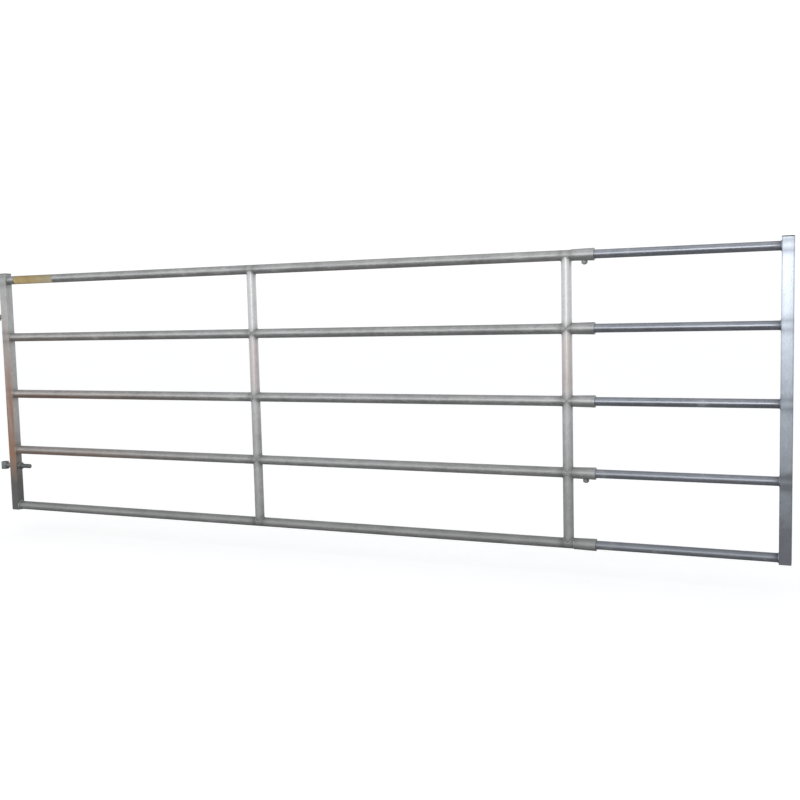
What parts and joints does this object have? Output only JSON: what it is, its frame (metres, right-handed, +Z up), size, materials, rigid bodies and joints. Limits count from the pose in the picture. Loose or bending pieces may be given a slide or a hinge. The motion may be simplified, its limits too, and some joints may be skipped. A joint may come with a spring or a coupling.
{
  "type": "extending field gate",
  "caption": "Galvanised tubular steel field gate leaf with horizontal rails that telescope, locked by bolts under their sleeves, and hung by hinge eyes.",
  "frame": {"origin": "centre of the hanging stile's flat back face, half-way up", "axes": "+X along the gate towards the latch stile, +Z up, +Y through the gate"},
  "size_m": [3.473, 0.0446, 1.1023],
  "materials": {
    "galvanised": "dull hot-dip galvanised steel",
    "bright_galvanised": "newer, brighter galvanised steel",
    "hardware_zinc": "weathered zinc-coated steel",
    "cap_plastic": "dark grey moulded plastic"
  },
  "bodies": {
    "frame": {"hanging_stile": "galvanised", "hanging_stile_cap": "cap_plastic", "bottom_rail": "galvanised", "lower_rail": "galvanised", "middle_rail": "galvanised", "upper_rail": "galvanised", "top_rail": "galvanised", "bottom_sleeve": "galvanised", "lower_sleeve": "galvanised", "middle_sleeve": "galvanised", "upper_sleeve": "galvanised", "top_sleeve": "galvanised", "mid_upright_1": "galvanised", "mid_upright_2": "galvanised", "mid_upright_3": "galvanised", "mid_upright_4": "galvanised", "end_upright_1": "galvanised", "end_upright_2": "galvanised", "end_upright_3": "galvanised", "end_upright_4": "galvanised", "lower_lock_nut": "hardware_zinc", "top_lock_nut": "hardware_zinc", "lower_lock_bolt": "hardware_zinc", "top_lock_bolt": "hardware_zinc", "upper_hinge_eye": "hardware_zinc", "lower_hinge_bolt": "hardware_zinc", "lower_hinge_nut": "hardware_zinc"},
    "extension": {"bottom_inner_rail": "bright_galvanised", "lower_inner_rail": "bright_galvanised", "middle_inner_rail": "bright_galvanised", "upper_inner_rail": "bright_galvanised", "top_inner_rail": "bright_galvanised", "latch_stile": "bright_galvanised", "latch_stile_cap": "cap_plastic"}
  },
  "joints": [
    {"name": "extension_slide", "type": "slide", "parent": "frame", "child": "extension", "axis": [1, 0, 0], "range_m": [-0.612, 0.588]}
  ]
}
